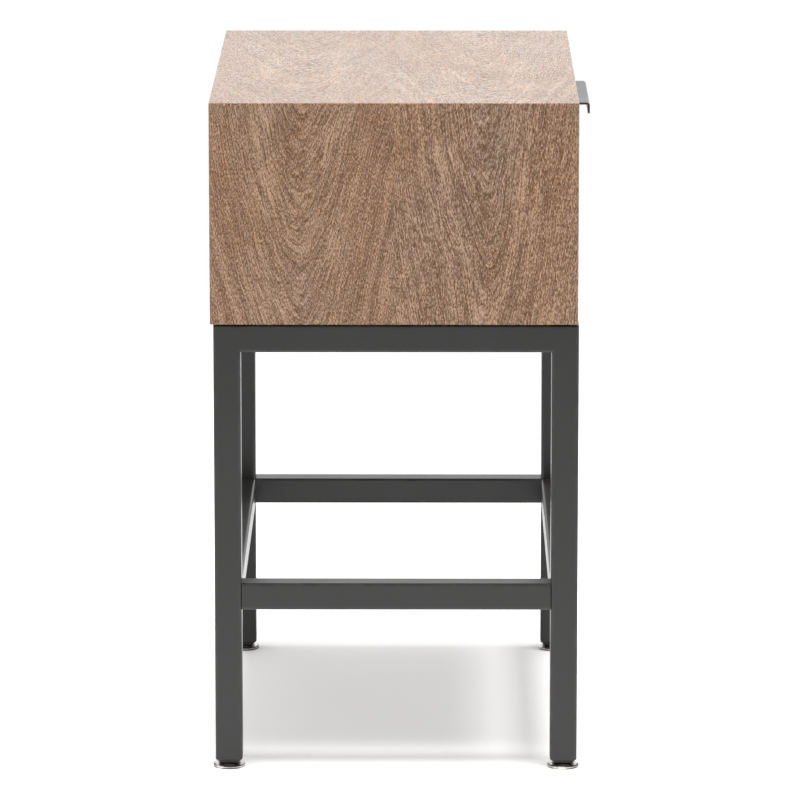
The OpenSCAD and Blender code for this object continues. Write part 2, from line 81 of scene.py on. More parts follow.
SURROUND_STRENGTH = 1.06
TOP_LIGHT_PLACE = (-0.45, -0.3, 4.4)
TOP_LIGHT_DOWN = np.radians(85)
TOP_LIGHT_TURN = np.radians(40)
TOP_LIGHT_WIDTH = 2.2
TOP_LIGHT_SPREAD = np.radians(60)
TOP_LIGHT_WATTS = 40.5

world = bpy.data.worlds.new("white_surround")
world.use_nodes = True
background = world.node_tree.nodes["Background"].inputs
background["Color"].default_value = (1.0, 1.0, 1.0, 1.0)
background["Strength"].default_value = SURROUND_STRENGTH
bpy.context.scene.world = world
top_light = bpy.data.objects.new("top_light", bpy.data.lights.new("top_light", "AREA"))
top_light.data.shape = "DISK"
top_light.data.size = TOP_LIGHT_WIDTH
top_light.data.spread = TOP_LIGHT_SPREAD
top_light.data.energy = TOP_LIGHT_WATTS
top_light.matrix_world = aim(TOP_LIGHT_PLACE, TOP_LIGHT_DOWN, TOP_LIGHT_TURN)
top_light.visible_glossy = False
bpy.context.collection.objects.link(top_light)


# ---------- floor ----------
# A plain white studio floor, level with the undersides of the four glides and wide
# enough to fill the view behind the table.

FLOOR_HALF = 20.0


def put(tree, kind, inputs=None, out=0, **settings):
    """Adds one shader node, joins or sets its inputs, and returns its output number out."""
    node = tree.nodes.new(kind)
    for name, value in settings.items():
        setattr(node, name, value)
    for name, value in (inputs or {}).items():
        socket = node.inputs[name]
        if isinstance(value, bpy.types.NodeSocket):
            tree.links.new(value, socket)
        else:
            socket.default_value = value
    return node.outputs[out]


def finish_named(name, **sockets):
    """A new material with one Principled shader. Returns the material, its tree and the shader."""
    material = bpy.data.materials.new(name)
    material.use_nodes = True
    tree = material.node_tree
    shader = tree.nodes["Principled BSDF"]
    for socket, value in sockets.items():
        shader.inputs[socket.replace("_", " ")].default_value = value
    return material, tree, shader


def mesh_object(name, points, faces, material):
    """A mesh object at the origin from an array of points and a list of faces."""
    mesh = bpy.data.meshes.new(name)
    mesh.from_pydata(np.asarray(points, float).tolist(), [], faces)
    mesh.materials.append(material)
    mesh.update()
    piece = bpy.data.objects.new(name, mesh)
    bpy.context.collection.objects.link(piece)
    return piece


floor_finish, _, _ = finish_named("white_floor", Base_Color=(0.955, 0.955, 0.955, 1.0), Roughness=0.75)
floor_corners = np.array([[-1, -1, 0], [1, -1, 0], [1, 1, 0], [-1, 1, 0]]) * FLOOR_HALF
floor = mesh_object("floor", floor_corners, [(0, 1, 2, 3)], floor_finish)


# ---------- square-tube frame ----------
# Twelve lengths of one-inch square steel tube, mitred where the legs meet the side
# rails and butted elsewhere, welded, ground flush and powder coated as one frame.

TUBE_CORNER = 0.0022
TUBE_GUARD = 0.0012
TUBE_RINGS = (0.0, 0.004, 0.5, 0.996, 1.0)
CORNER_STEPS = 6
SMOOTH_UNDER = np.radians(42)


def rounded_square(width, radius, guard):
    """Closed outline of a square with round corners: each corner is a quarter circle, with
    one more point a guard's length past each end of it. Also gives each point's edge mask."""
    half = width / 2 - radius
    angle = np.radians(np.linspace(0, 90, CORNER_STEPS + 1))
    arc = np.stack([half + radius * np.cos(angle), half + radius * np.sin(angle)], 1)
    quarter = np.concatenate([[[width / 2, half - guard]], arc, [[half - guard, width / 2]]])
    quarter_turn = np.array([[0, 1], [-1, 0]])
    mask = np.concatenate([[0.0], np.sin(2 * angle) * 0.5 + 0.5, [0.0]])
    turned_quarters = [quarter @ np.linalg.matrix_power(quarter_turn, k) for k in range(4)]
    return np.concatenate(turned_quarters), np.tile(mask, 4)


def ring_faces(count_along, count_round, looped=False):
    """Quads between successive rings of points, as an array of corner numbers."""
    rows = np.arange(count_along if looped else count_along - 1)
    i, j = np.meshgrid(rows, np.arange(count_round), indexing="ij")
    here = i * count_round
    after = (i + 1) % count_along * count_round
    side = (j + 1) % count_round
    return np.stack([here + j, here + side, after + side, after + j], -1).reshape(-1, 4)


def signed_volume(points, quads):
    """Six times the volume enclosed by quads: positive if they face outwards."""
    a, b, c, d = (points[quads[:, k]] for k in range(4))
    return np.sum(a * (np.cross(b, c) + np.cross(c, d)))


def shell(name, rings, material, edge=None, looped=False):
    """A closed piece through an array of rings (rings, points round, xyz). The two end rings are closed with
    flat caps, or joined to each other if looped. edge is each point's edge mask: worn edges on most pieces,
    and on the glides the rims and seats that are painted dark as painted dark reflection and painted shade.
    Faces are turned outwards by the sign of the enclosed volume."""
    rings = np.asarray(rings, float)
    along, around = rings.shape[:2]
    points = rings.reshape(-1, 3)
    quads = ring_faces(along, around, looped)
    caps = []
    centre = points.mean(0)
    if not looped:
        caps = [np.arange(around)[::-1], np.arange(around) + (along - 1) * around]
    fan = [np.stack([np.full(around, cap[0]), cap, np.roll(cap, -1), np.roll(cap, -1)], 1) for cap in caps]
    if signed_volume(points - centre, np.concatenate([quads] + fan)) < 0:
        quads = quads[:, ::-1]
        caps = [cap[::-1] for cap in caps]
    piece = mesh_object(name, points, quads.tolist() + [cap.tolist() for cap in caps], material)
    mask = np.zeros(len(points)) if edge is None else np.broadcast_to(edge, rings.shape[:2]).ravel()
    attribute = piece.data.attributes.new("edge", "FLOAT", "POINT")
    attribute.data.foreach_set("value", mask.astype(np.float32))
    piece.data.shade_smooth()
    piece.data.set_sharp_from_angle(angle=SMOOTH_UNDER)
    return piece


def stands_for(piece, node, body):
    """A piece takes its CAD node's place and rides on body."""
    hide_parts(node)
    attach(piece, body)


def maths(tree, operation, first, second=0.0):
    """One Math node."""
    return put(tree, "ShaderNodeMath", {0: first, 1: second}, operation=operation)


def times(tree, first, second):
    """first multiplied by second."""
    return maths(tree, "MULTIPLY", first, second)


def plus(tree, first, second):
    """first and second added."""
    return maths(tree, "ADD", first, second)


def less(tree, first, second):
    """first with second taken away."""
    return maths(tree, "SUBTRACT", first, second)


def split(tree, vector):
    """The three parts of a vector."""
    return list(put(tree, "ShaderNodeSeparateXYZ", {0: vector}).node.outputs)


def noise(tree, vector, scale, detail, roughness=0.5):
    """Noise of a place, with scale as its number of waves per metre."""
    return put(tree, "ShaderNodeTexNoise", {"Vector": vector, "Scale": scale, "Detail": detail,
                                            "Roughness": roughness})


def spread(tree, value, start, stop, low=0.0, high=1.0):
    """Maps start..stop onto low..high, and holds the ends beyond them."""
    return put(tree, "ShaderNodeMapRange", {"Value": value, "From Min": start, "From Max": stop,
                                            "To Min": low, "To Max": high})


def scaled(tree, value, low, high):
    """Maps 0..1 onto low..high."""
    return spread(tree, value, 0.0, 1.0, low, high)


def surface_marks():
    """Node group for what handling leaves on any finish: Smudge is a soft cloudy mask, Fleck a
    fine speckle, Edge the mesh's own edge mask broken up by noise, and Dust a thin mask on
    faces that look up."""
    tree = bpy.data.node_groups.new("surface_marks", "ShaderNodeTree")
    for name, start in (("Smudge Scale", 14.0), ("Fleck Scale", 900.0)):
        tree.interface.new_socket(name, in_out="INPUT", socket_type="NodeSocketFloat").default_value = start
    for name in ("Smudge", "Fleck", "Edge", "Dust"):
        tree.interface.new_socket(name, in_out="OUTPUT", socket_type="NodeSocketFloat")
    given = tree.nodes.new("NodeGroupInput")
    result = tree.nodes.new("NodeGroupOutput")
    place = put(tree, "ShaderNodeTexCoord", out=3)
    smudge = put(tree, "ShaderNodeTexNoise", {"Vector": place, "Scale": given.outputs[0], "Detail": 4.0,
                                              "Roughness": 0.55, "Distortion": 0.6})
    fleck = noise(tree, place, given.outputs[1], 2.0)
    mask = put(tree, "ShaderNodeAttribute", out=2, attribute_name="edge")
    edge = times(tree, mask, spread(tree, noise(tree, place, 70.0, 4.0), 0.35, 0.75))
    up = split(tree, put(tree, "ShaderNodeNewGeometry", out=1))[2]
    dust = times(tree, spread(tree, up, 0.7, 1.0), spread(tree, smudge, 0.35, 0.75))
    for k, value in enumerate((smudge, fleck, edge, dust)):
        tree.links.new(value, result.inputs[k])
    return tree


MARKS = surface_marks()


def marks(tree, smudge_scale, fleck_scale):
    """Places the surface_marks group in a material and returns its four outputs."""
    node = tree.nodes.new("ShaderNodeGroup")
    node.node_tree = MARKS
    node.inputs["Smudge Scale"].default_value = smudge_scale
    node.inputs["Fleck Scale"].default_value = fleck_scale
    return [node.outputs[k] for k in range(4)]


def shade(colour, factor=1.0, lift=0.0):
    """A colour with each of its three parts multiplied and lifted, and full alpha."""
    return tuple(part * factor + lift for part in colour) + (1.0,)


def blend_colour(tree, factor, first, second, kind="MIX"):
    """A colour that goes from first to second as factor goes from 0 to 1. With kind MULTIPLY it
    goes to first times second."""
    return put(tree, "ShaderNodeMix", {0: factor, 6: first, 7: second}, out=2, data_type="RGBA",
               blend_type=kind)


def colour_and_gloss(tree, shader, colour, roughness):
    """Joins a colour and a roughness to the shader."""
    tree.links.new(colour, shader.inputs["Base Color"])
    tree.links.new(roughness, shader.inputs["Roughness"])


def raise_surface(tree, shader, height, depth, strength=1.0):
    """Bump from a height of 0..1, worth depth metres."""
    bump = put(tree, "ShaderNodeBump", {"Height": height, "Distance": depth, "Strength": strength})
    tree.links.new(bump, shader.inputs["Normal"])


HOUSE_DUST = (0.3, 0.29, 0.275, 1.0)


def powder_coat(name, dark, pale, gloss, peel, sheen=0.4):
    """Semi-gloss powder coat: near-black with a faint orange peel of its own size, a little
    paler on rubbed corners and where dust lies."""
    material, tree, shader = finish_named(name, Specular_IOR_Level=sheen)
    smudge, fleck, edge, dust = marks(tree, 11.0, peel)
    coat = blend_colour(tree, smudge, shade(dark), shade(pale))
    rubbed = blend_colour(tree, edge, coat, shade(pale, 1.9))
    dusty = blend_colour(tree, times(tree, dust, 0.07), rubbed, HOUSE_DUST)
    colour_and_gloss(tree, shader, dusty, scaled(tree, smudge, gloss - 0.07, gloss + 0.1))
    raise_surface(tree, shader, fleck, 0.00006, 0.35)
    return material


paint = powder_coat("charcoal_powder_coat", (0.009, 0.0087, 0.0083), (0.0155, 0.015, 0.0145),
                    gloss=0.3, peel=620.0)
leg_low, leg_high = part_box("leg_front_left")
TUBE = leg_high[0] - leg_low[0]
LEG_FOOT = leg_low[2]
rail_low, rail_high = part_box("top_rail_left")
FRAME_FRONT = rail_low[1]
FRAME_BACK = rail_high[1]
FRAME_TOP = rail_high[2]


def cut(place, slope=0.0, axis=0, start=0.0):
    """A tube's end as a function of its section's points: square at place, or with a slope
    that follows how far the points are past start on another axis, which makes a mitre."""
    return lambda section: place + slope * (section[:, axis] - start)


def frame_tube(node, axis, low_cut=None, high_cut=None):
    """A square tube along axis in place of a CAD tube. Its section is centred in the node's
    box, and its rings are the section carried from its low end to its high one. An end with no
    cut given is square."""
    low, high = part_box(node)
    outline, mask = rounded_square(TUBE, TUBE_CORNER, TUBE_GUARD)
    section = np.insert(outline, axis, 0.0, axis=1) + np.mean([low, high], axis=0)
    start = (low_cut or cut(low[axis]))(section)
    stop = (high_cut or cut(high[axis]))(section)
    share = np.array(TUBE_RINGS)[:, None]
    rings = np.broadcast_to(section, (len(share),) + section.shape).copy()
    rings[:, :, axis] = start + share * (stop - start)
    stands_for(shell(f"{node}_tube", rings, paint, mask), node, "table")


SIDES = ("left", "right")
for depth_name, slope, outer in (("front", -1, FRAME_FRONT), ("back", 1, FRAME_BACK)):
    for side_name in SIDES:
        frame_tube(f"leg_{depth_name}_{side_name}", 2, high_cut=cut(FRAME_TOP, slope, 1, outer))
for side_name in SIDES:
    frame_tube(f"top_rail_{side_name}", 1, cut(FRAME_FRONT, -1, 2, FRAME_TOP),
               cut(FRAME_BACK, 1, 2, FRAME_TOP))
for node, axis in (("stretcher_left", 1), ("stretcher_right", 1), ("stretcher_front", 0),
                   ("stretcher_back", 0), ("top_rail_front", 0), ("top_rail_back", 0)):
    frame_tube(node, axis)


# ---------- leg plugs ----------
# A black nylon plug is driven into the foot of each leg. Its collar tapers from the
# tube down to the glide, and the glide's stem runs through its bore.

PLUG_DEPTH = 0.018
PLUG_BORE = 0.0043
PLUG_BODY = TUBE - 0.003
PLUG_NOSE = TUBE - 0.005
PLUG_CORNER = 0.09
PLUG_GUARD = 0.02
COLLAR_LOW = 0.019


def round_points(radius, angle):
    """Points of a circle at the given angles."""
    return np.stack([radius * np.cos(angle), radius * np.sin(angle)], 1)


def moulded_plastic(name, colour, roughness):
    """Moulded plastic: one colour with a faint cloud, fine spark texture and paler rubbed edges."""
    material, tree, shader = finish_named(name)
    smudge, fleck, edge, _ = marks(tree, 30.0, 1500.0)
    body = blend_colour(tree, smudge, shade(colour, 0.8), shade(colour))
    rubbed = blend_colour(tree, edge, body, shade(colour, 1.7, 0.02))
    colour_and_gloss(tree, shader, rubbed, scaled(tree, smudge, roughness - 0.08, roughness + 0.1))
    raise_surface(tree, shader, fleck, 0.00004, 0.5)
    return material


def plug_rings(place, foot, top):
    """Rings of a bored, tapered plug: round the bore at its foot, out along the tapered collar,
    in under the tube's end, up the body and back down the bore. Each ring but the bore's is a
    rounded square, whose corner and guard are shares of its width, and all of them share one
    set of angles."""
    square, _ = rounded_square(1.0, PLUG_CORNER, PLUG_GUARD)
    angle = np.arctan2(square[:, 1], square[:, 0])
    bore = round_points(PLUG_BORE, angle)
    steps = ((COLLAR_LOW - 0.0016, foot), (COLLAR_LOW - 0.0004, foot + 0.0003), (COLLAR_LOW, foot + 0.0009),
             (TUBE - 0.0004, top - 0.0008), (TUBE, top - 0.0003), (TUBE, top - 0.00002),
             (PLUG_BODY, top), (PLUG_BODY, top + PLUG_DEPTH - 0.001), (PLUG_NOSE, top + PLUG_DEPTH))
    flat = [(bore, foot)] + [(square * width, z) for width, z in steps] + [(bore, top + PLUG_DEPTH)]
    rings = [np.column_stack([outline + place, np.full(len(outline), z)]) for outline, z in flat]
    return np.array(rings)


black_nylon = moulded_plastic("black_nylon", (0.013, 0.013, 0.0135), 0.42)
CORNERS = ("front_left", "front_right", "back_left", "back_right")
glide_middle = {corner: np.mean(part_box(f"glide_base_{corner}"), axis=0)[:2] for corner in CORNERS}
plug_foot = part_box("leg_plugs")[0][2]
for corner in CORNERS:
    rings = plug_rings(glide_middle[corner], plug_foot, LEG_FOOT)
    plug = shell(f"leg_plug_{corner}", rings, black_nylon, looped=True)
    stands_for(plug, "leg_plugs", "table")


# ---------- levelling glides ----------
# Under each leg is a turned, bright nickel-plated base that swivels on an M8 threaded
# stem. Its rim is thin and its middle rises to the seat of the stem, which screws
# through a nut in the plug to set the height.

GLIDE_ROUND = 72
GLIDE_RIM = 0.003
GLIDE_BEND = 0.0008
GLIDE_BOSS = 0.009
GLIDE_SEAT = 0.00406
STEM_ROUND = 40
THREAD_PITCH = 0.00125
THREAD_DEPTH = 0.0007
THREAD_STEPS = 8


def turned(name, profile, place, count, material, edge=None):
    """A turned piece: each (radius, height) of the profile is a circle about a vertical axis at
    place, and the circles are joined in order and capped."""
    angle = np.linspace(0, 2 * np.pi, count, endpoint=False)
    rings = [np.column_stack([round_points(r, angle) + place, np.full(count, z)]) for r, z in profile]
    mask = None if edge is None else np.asarray(edge, float)[:, None]
    return shell(name, rings, material, mask)


def rounding(centre_r, centre_z, radius, start, stop, steps=5):
    """Points (across, height) of an arc of a profile, between two angles in degrees."""
    angle = np.radians(np.linspace(start, stop, steps))
    return [(centre_r + radius * np.cos(a), centre_z + radius * np.sin(a)) for a in angle]


def plated(name, colour, roughness, lines, stretch):
    """Plated metal with fine lines: noise drawn out along the axis whose stretch is small gives the lines,
    smudges vary the gloss, and edges under the edge mask are painted dark: a painted dark reflection on the
    glides' rims and painted shade in the crease at their stems' seats."""
    material, tree, shader = finish_named(name, Metallic=1.0)
    smudge, _, edge, dust = marks(tree, 26.0, 1400.0)
    place = put(tree, "ShaderNodeTexCoord", out=3)
    drawn = put(tree, "ShaderNodeMapping", {"Vector": place, "Scale": stretch})
    line = noise(tree, drawn, lines, 3.0, 0.7)
    metal = blend_colour(tree, line, shade(colour, 0.84), shade(colour, 1.1))
    # Painted dark reflection and painted shade: masked edges go almost black, which only the glides' rims and
    # stem seats carry.
    painted_dark_rim = blend_colour(tree, spread(tree, edge, 0.0, 0.28), metal, shade(colour, 0.12))
    dusty = blend_colour(tree, times(tree, dust, 0.05), painted_dark_rim, (0.4, 0.38, 0.35, 1.0))
    gloss = spread(tree, plus(tree, smudge, line), 0.6, 1.4, roughness - 0.07, roughness + 0.1)
    colour_and_gloss(tree, shader, dusty, gloss)
    raise_surface(tree, shader, line, 0.00003, 0.35)
    return material


bright_nickel = plated("bright_nickel", (0.66, 0.64, 0.6), 0.16, lines=900.0, stretch=(0.4, 0.4, 2.2))
zinc = plated("zinc_plate", (0.62, 0.625, 0.63), 0.32, lines=700.0, stretch=(1.0, 0.08, 1.0))
for corner in CORNERS:
    low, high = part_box(f"glide_base_{corner}")
    radius = (high[0] - low[0]) / 2
    top = high[2]
    under_rim = rounding(radius - GLIDE_BEND, GLIDE_BEND, GLIDE_BEND, -90, 0)
    over_rim = rounding(radius - GLIDE_BEND, GLIDE_RIM - GLIDE_BEND, GLIDE_BEND, 0, 71)
    profile = [(radius - 0.005, 0.0), (radius - 0.002, 0.0)] + under_rim
    profile += [(radius, GLIDE_RIM - 0.0012)] + over_rim
    profile += [(radius - 0.0015, GLIDE_RIM + 0.0002), (GLIDE_BOSS + 0.0008, top - 0.00025),
                (GLIDE_BOSS - 0.0002, top - 0.00004), (GLIDE_BOSS - 0.0008, top),
                (GLIDE_SEAT + 0.0016, top), (GLIDE_SEAT + 0.0008, top - 0.0001),
                (GLIDE_SEAT, top - 0.0009), (GLIDE_SEAT, 0.002)]
    # Mask of painted dark on the glide: a painted dark reflection on the rounded rim and the boss's edge, and
    # painted shade in the crease and bore of the stem's seat.
    painted_dark_rim_mask = [0, 0] + [1] * len(under_rim) + [0] + [1] * len(over_rim) + [0, 0, 0.5, 0, 0, 0.6, 1, 1]
    base = turned(f"glide_disc_{corner}", profile, glide_middle[corner], GLIDE_ROUND, bright_nickel, painted_dark_rim_mask)
    stands_for(base, f"glide_base_{corner}", f"glide_base_{corner}")


def threaded_rings(place, radius, foot, top):
    """Rings of a right-hand thread: the radius is a rounded zigzag of height over pitch less the
    share of a turn, and it shrinks to the root in the last pitch at each end."""
    count = int((top - foot) / THREAD_PITCH * THREAD_STEPS)
    angle = np.linspace(0, 2 * np.pi, STEM_ROUND, endpoint=False)
    height = np.linspace(foot, top, count + 1)[:, None]
    phase = height / THREAD_PITCH - angle / (2 * np.pi)
    ridge = np.clip(0.5 - 0.62 * np.cos(2 * np.pi * phase), 0.0, 1.0)
    ends = np.clip(np.minimum(height - foot, top - height) / THREAD_PITCH, 0.0, 1.0)
    r = radius - THREAD_DEPTH * (1.0 - ridge * ends)
    centre = np.broadcast_to(height, r.shape)
    return np.stack([place[0] + r * np.cos(angle), place[1] + r * np.sin(angle), centre], -1)


for corner in CORNERS:
    low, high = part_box(f"glide_stem_{corner}")
    rings = threaded_rings(glide_middle[corner], (high[0] - low[0]) / 2, low[2], high[2])
    stem = shell(f"glide_screw_{corner}", rings, zinc)
    stands_for(stem, f"glide_stem_{corner}", f"glide_stem_{corner}")


# ---------- caps and fasteners of the frame ----------
# Six socket bolts run from inside the front and back rails into brass inserts in the
# case. Fibre washers make the shadow gap, and push-in caps close the access holes.


def dress(node, material):
    """Gives a CAD piece whose shape is right its material."""
    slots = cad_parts[node].data.materials
    slots.clear()
    slots.append(material)


def plain_metal(name, colour, roughness):
    """Bare or blackened metal with cloudy gloss and a fine tooth."""
    material, tree, shader = finish_named(name, Metallic=1.0)
    smudge, fleck, _, _ = marks(tree, 60.0, 2200.0)
    metal = blend_colour(tree, smudge, shade(colour, 0.75), shade(colour))
    colour_and_gloss(tree, shader, metal, scaled(tree, smudge, roughness - 0.1, roughness + 0.12))
    raise_surface(tree, shader, fleck, 0.00002, 0.4)
    return material


black_oxide = plain_metal("black_oxide", (0.05, 0.05, 0.055), 0.4)
brass = plain_metal("brass", (0.62, 0.44, 0.19), 0.32)
black_fibre = moulded_plastic("black_fibre", (0.012, 0.012, 0.012), 0.7)
dress("frame_bolts", black_oxide)
dress("frame_inserts", brass)
dress("frame_washers", black_fibre)
dress("plug_nuts", zinc)

CAP_RADIUS = 0.0085
CAP_BODY = 0.0065
CAP_HEAD = 0.0015
CAP_BEND = 0.0012
CAP_STUB = 0.0028
CAP_ROUND = 40
cap_low, cap_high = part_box("rail_hole_caps")
cap_foot = cap_low[2]
rail_under = cap_foot + CAP_HEAD
cap_profile = [(0.004, cap_foot), (CAP_RADIUS - 0.0022, cap_foot + 0.0001)]
cap_profile += rounding(CAP_RADIUS - CAP_BEND, cap_foot + CAP_BEND, CAP_BEND, -80, 0)
cap_profile += [(CAP_RADIUS, rail_under - 0.00002), (CAP_BODY, rail_under), (CAP_BODY, rail_under + CAP_STUB)]
cap_xs = (cap_low[0] + CAP_RADIUS, 0.0, cap_high[0] - CAP_RADIUS)
cap_ys = (cap_low[1] + CAP_RADIUS, cap_high[1] - CAP_RADIUS)
for number, place in enumerate([(x, y) for y in cap_ys for x in cap_xs]):
    cap = turned(f"rail_hole_cap_{number + 1}", cap_profile, place, CAP_ROUND, black_nylon)
    stands_for(cap, "rail_hole_caps", "table")


# ---------- veneered case ----------
# Top, sides, bottom and back are boards faced with flat-sawn oak veneer, stained a soft
# brown and lacquered. The veneer is laid in one run up the left side, across the top and
# down the right side, over mitred corners. It comes in leaves half the case's depth wide.

LEAF_WIDTH = 0.1715
EASE = 0.0006
EDGE_GUARD = 0.0022
side_low, side_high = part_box("side_panel_left")
bottom_low, bottom_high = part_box("bottom_panel")
CASE_X = -side_low[0]
CASE_FRONT = side_low[1]
CASE_BACK = side_high[1]
CASE_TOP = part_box("top_panel")[1][2]
CASE_FOOT = side_low[2]
PANEL = bottom_high[2] - bottom_low[2]
INNER_X = CASE_X - PANEL
TOP_EDGE_R = 0.001


def inset(outline, distance, weight):
    """Moves each side of a closed outline inwards by distance times its weight, and puts each
    corner where its two moved sides cross. Side k runs from point k to point k + 1. Where the
    two sides are in line, the corner moves straight in."""
    after = np.roll(outline, -1, 0)
    run = after - outline
    run /= np.linalg.norm(run, axis=1, keepdims=True)
    area = np.sum(outline[:, 0] * after[:, 1] - after[:, 0] * outline[:, 1])
    outward = np.stack([run[:, 1], -run[:, 0]], 1) * np.sign(area)
    move = distance * weight
    outward_before = np.roll(outward, 1, 0)
    move_before = np.roll(move, 1)
    cross = outward_before[:, 0] * outward[:, 1] - outward_before[:, 1] * outward[:, 0]
    straight = np.abs(cross) < 1e-4
    safe = np.where(straight, 1.0, cross)
    x = (move * outward_before[:, 1] - move_before * outward[:, 1]) / safe
    y = (move_before * outward[:, 0] - move * outward_before[:, 0]) / safe
    moved = np.where(straight[:, None], -outward * move[:, None], np.stack([x, y], 1))
    return outline + moved


def board_rings(outline, weight, start, stop):
    """Rings of a board: an outline in X and Z carried along Y. Near each end the outline is
    drawn in along a quarter circle, and one more ring lies inside each end face."""
    turn = np.radians(np.linspace(0, 90, 5))
    drawn = [EASE + EDGE_GUARD] + (EASE * (1 - np.sin(turn))).tolist() + [0.0]
    went = [0.0] + (EASE * (1 - np.cos(turn))).tolist() + [EASE + EDGE_GUARD]
    mask = np.array([0.0] + (0.35 + 0.65 * np.sin(2 * turn)).tolist() + [0.0])
    rings = []
    for place, sign in ((start, 1), (stop, -1)):
        half = [np.insert(inset(outline, d, weight), 1, place + sign * w, axis=1)
                for d, w in zip(drawn, went)]
        rings.append(half if sign > 0 else half[::-1])
    return np.array(rings[0] + rings[1]), np.concatenate([mask, mask[::-1]])


def gather(items, field, width, kind=float):
    """One field of a mesh's items as rows of an array."""
    values = np.empty(len(items) * width, kind)
    items.foreach_get(field, values)
    return values.reshape(-1, width)


def lay_grain(piece, rule):
    """Stores the veneer's own coordinates on each face corner: metres across the grain, metres
    along it, and a number for the leaf stack. rule gets the corners' places and face normals."""
    mesh = piece.data
    corners = gather(mesh.loops, "vertex_index", 1, int)[:, 0]
    sizes = gather(mesh.polygons, "loop_total", 1, int)[:, 0]
    normals = np.repeat(gather(mesh.polygons, "normal", 3), sizes, axis=0)
    grain = rule(gather(mesh.vertices, "co", 3)[corners], normals)
    attribute = mesh.attributes.new("grain", "FLOAT_VECTOR", "CORNER")
    attribute.data.foreach_set("vector", grain.astype(np.float32).ravel())


def along_case(point):
    """How far the waterfall of veneer has run from the top left corner: negative down the left
    side, positive across the top, and on down the right side."""
    left = point[:, 2] - CASE_TOP
    top = point[:, 0] + CASE_X
    right = 2 * CASE_X + CASE_TOP - point[:, 2]
    return left, top, right


def looks_along(normal, axis):
    """True where a face looks along an axis, either way."""
    return np.abs(normal[:, axis]) > 0.7


def side_rule(right_side):
    """Grain of a side panel: the waterfall on both faces, and straight grain on its edges."""
    def rule(point, normal):
        left, _, right = along_case(point)
        face = looks_along(normal, 0)
        on_edge = LEAF_WIDTH * 0.02 + point[:, 0] - np.sign(point[:, 0]) * INNER_X
        across = np.where(face, CASE_BACK - point[:, 1], on_edge)
        return np.stack([across, right if right_side else left, np.where(face, 0.0, 3.0)], 1)
    return rule


def top_rule(point, normal):
    """Grain of the top: the waterfall on its faces, and grain along X on its edges."""
    _, top, _ = along_case(point)
    face = looks_along(normal, 2)
    across = np.where(face, CASE_BACK - point[:, 1], LEAF_WIDTH * 0.03 + CASE_TOP - point[:, 2])
    return np.stack([across, top, np.where(face, 0.0, 4.0)], 1)


def lengthwise_rule(stack):
    """Grain along X on a board whose face looks along Y."""
    def rule(point, normal):
        face = looks_along(normal, 1)
        thickness = np.where(looks_along(normal, 2), point[:, 1], 0.0)
        across = np.where(face, point[:, 2] - CASE_FOOT, thickness + point[:, 2])
        return np.stack([across, point[:, 0] + CASE_X, np.full(len(point), float(stack))], 1)
    return rule


def streaks(tree, parts, scales, detail, roughness=0.5):
    """Noise of three coordinates, each with its own number of waves per metre."""
    waves = [times(tree, part, scale) for part, scale in zip(parts, scales)]
    return noise(tree, put(tree, "ShaderNodeCombineXYZ", dict(enumerate(waves))), 1.0, detail, roughness)


RING_WIDTH = 0.0024
FLANK_PLACE = 0.033
FLANK_REACH = 0.017
FILM_MIDDLE = 0.28
OAK_COLOURS = ((0.088, 0.04, 0.0165), (0.158, 0.084, 0.047), (0.36, 0.234, 0.16))


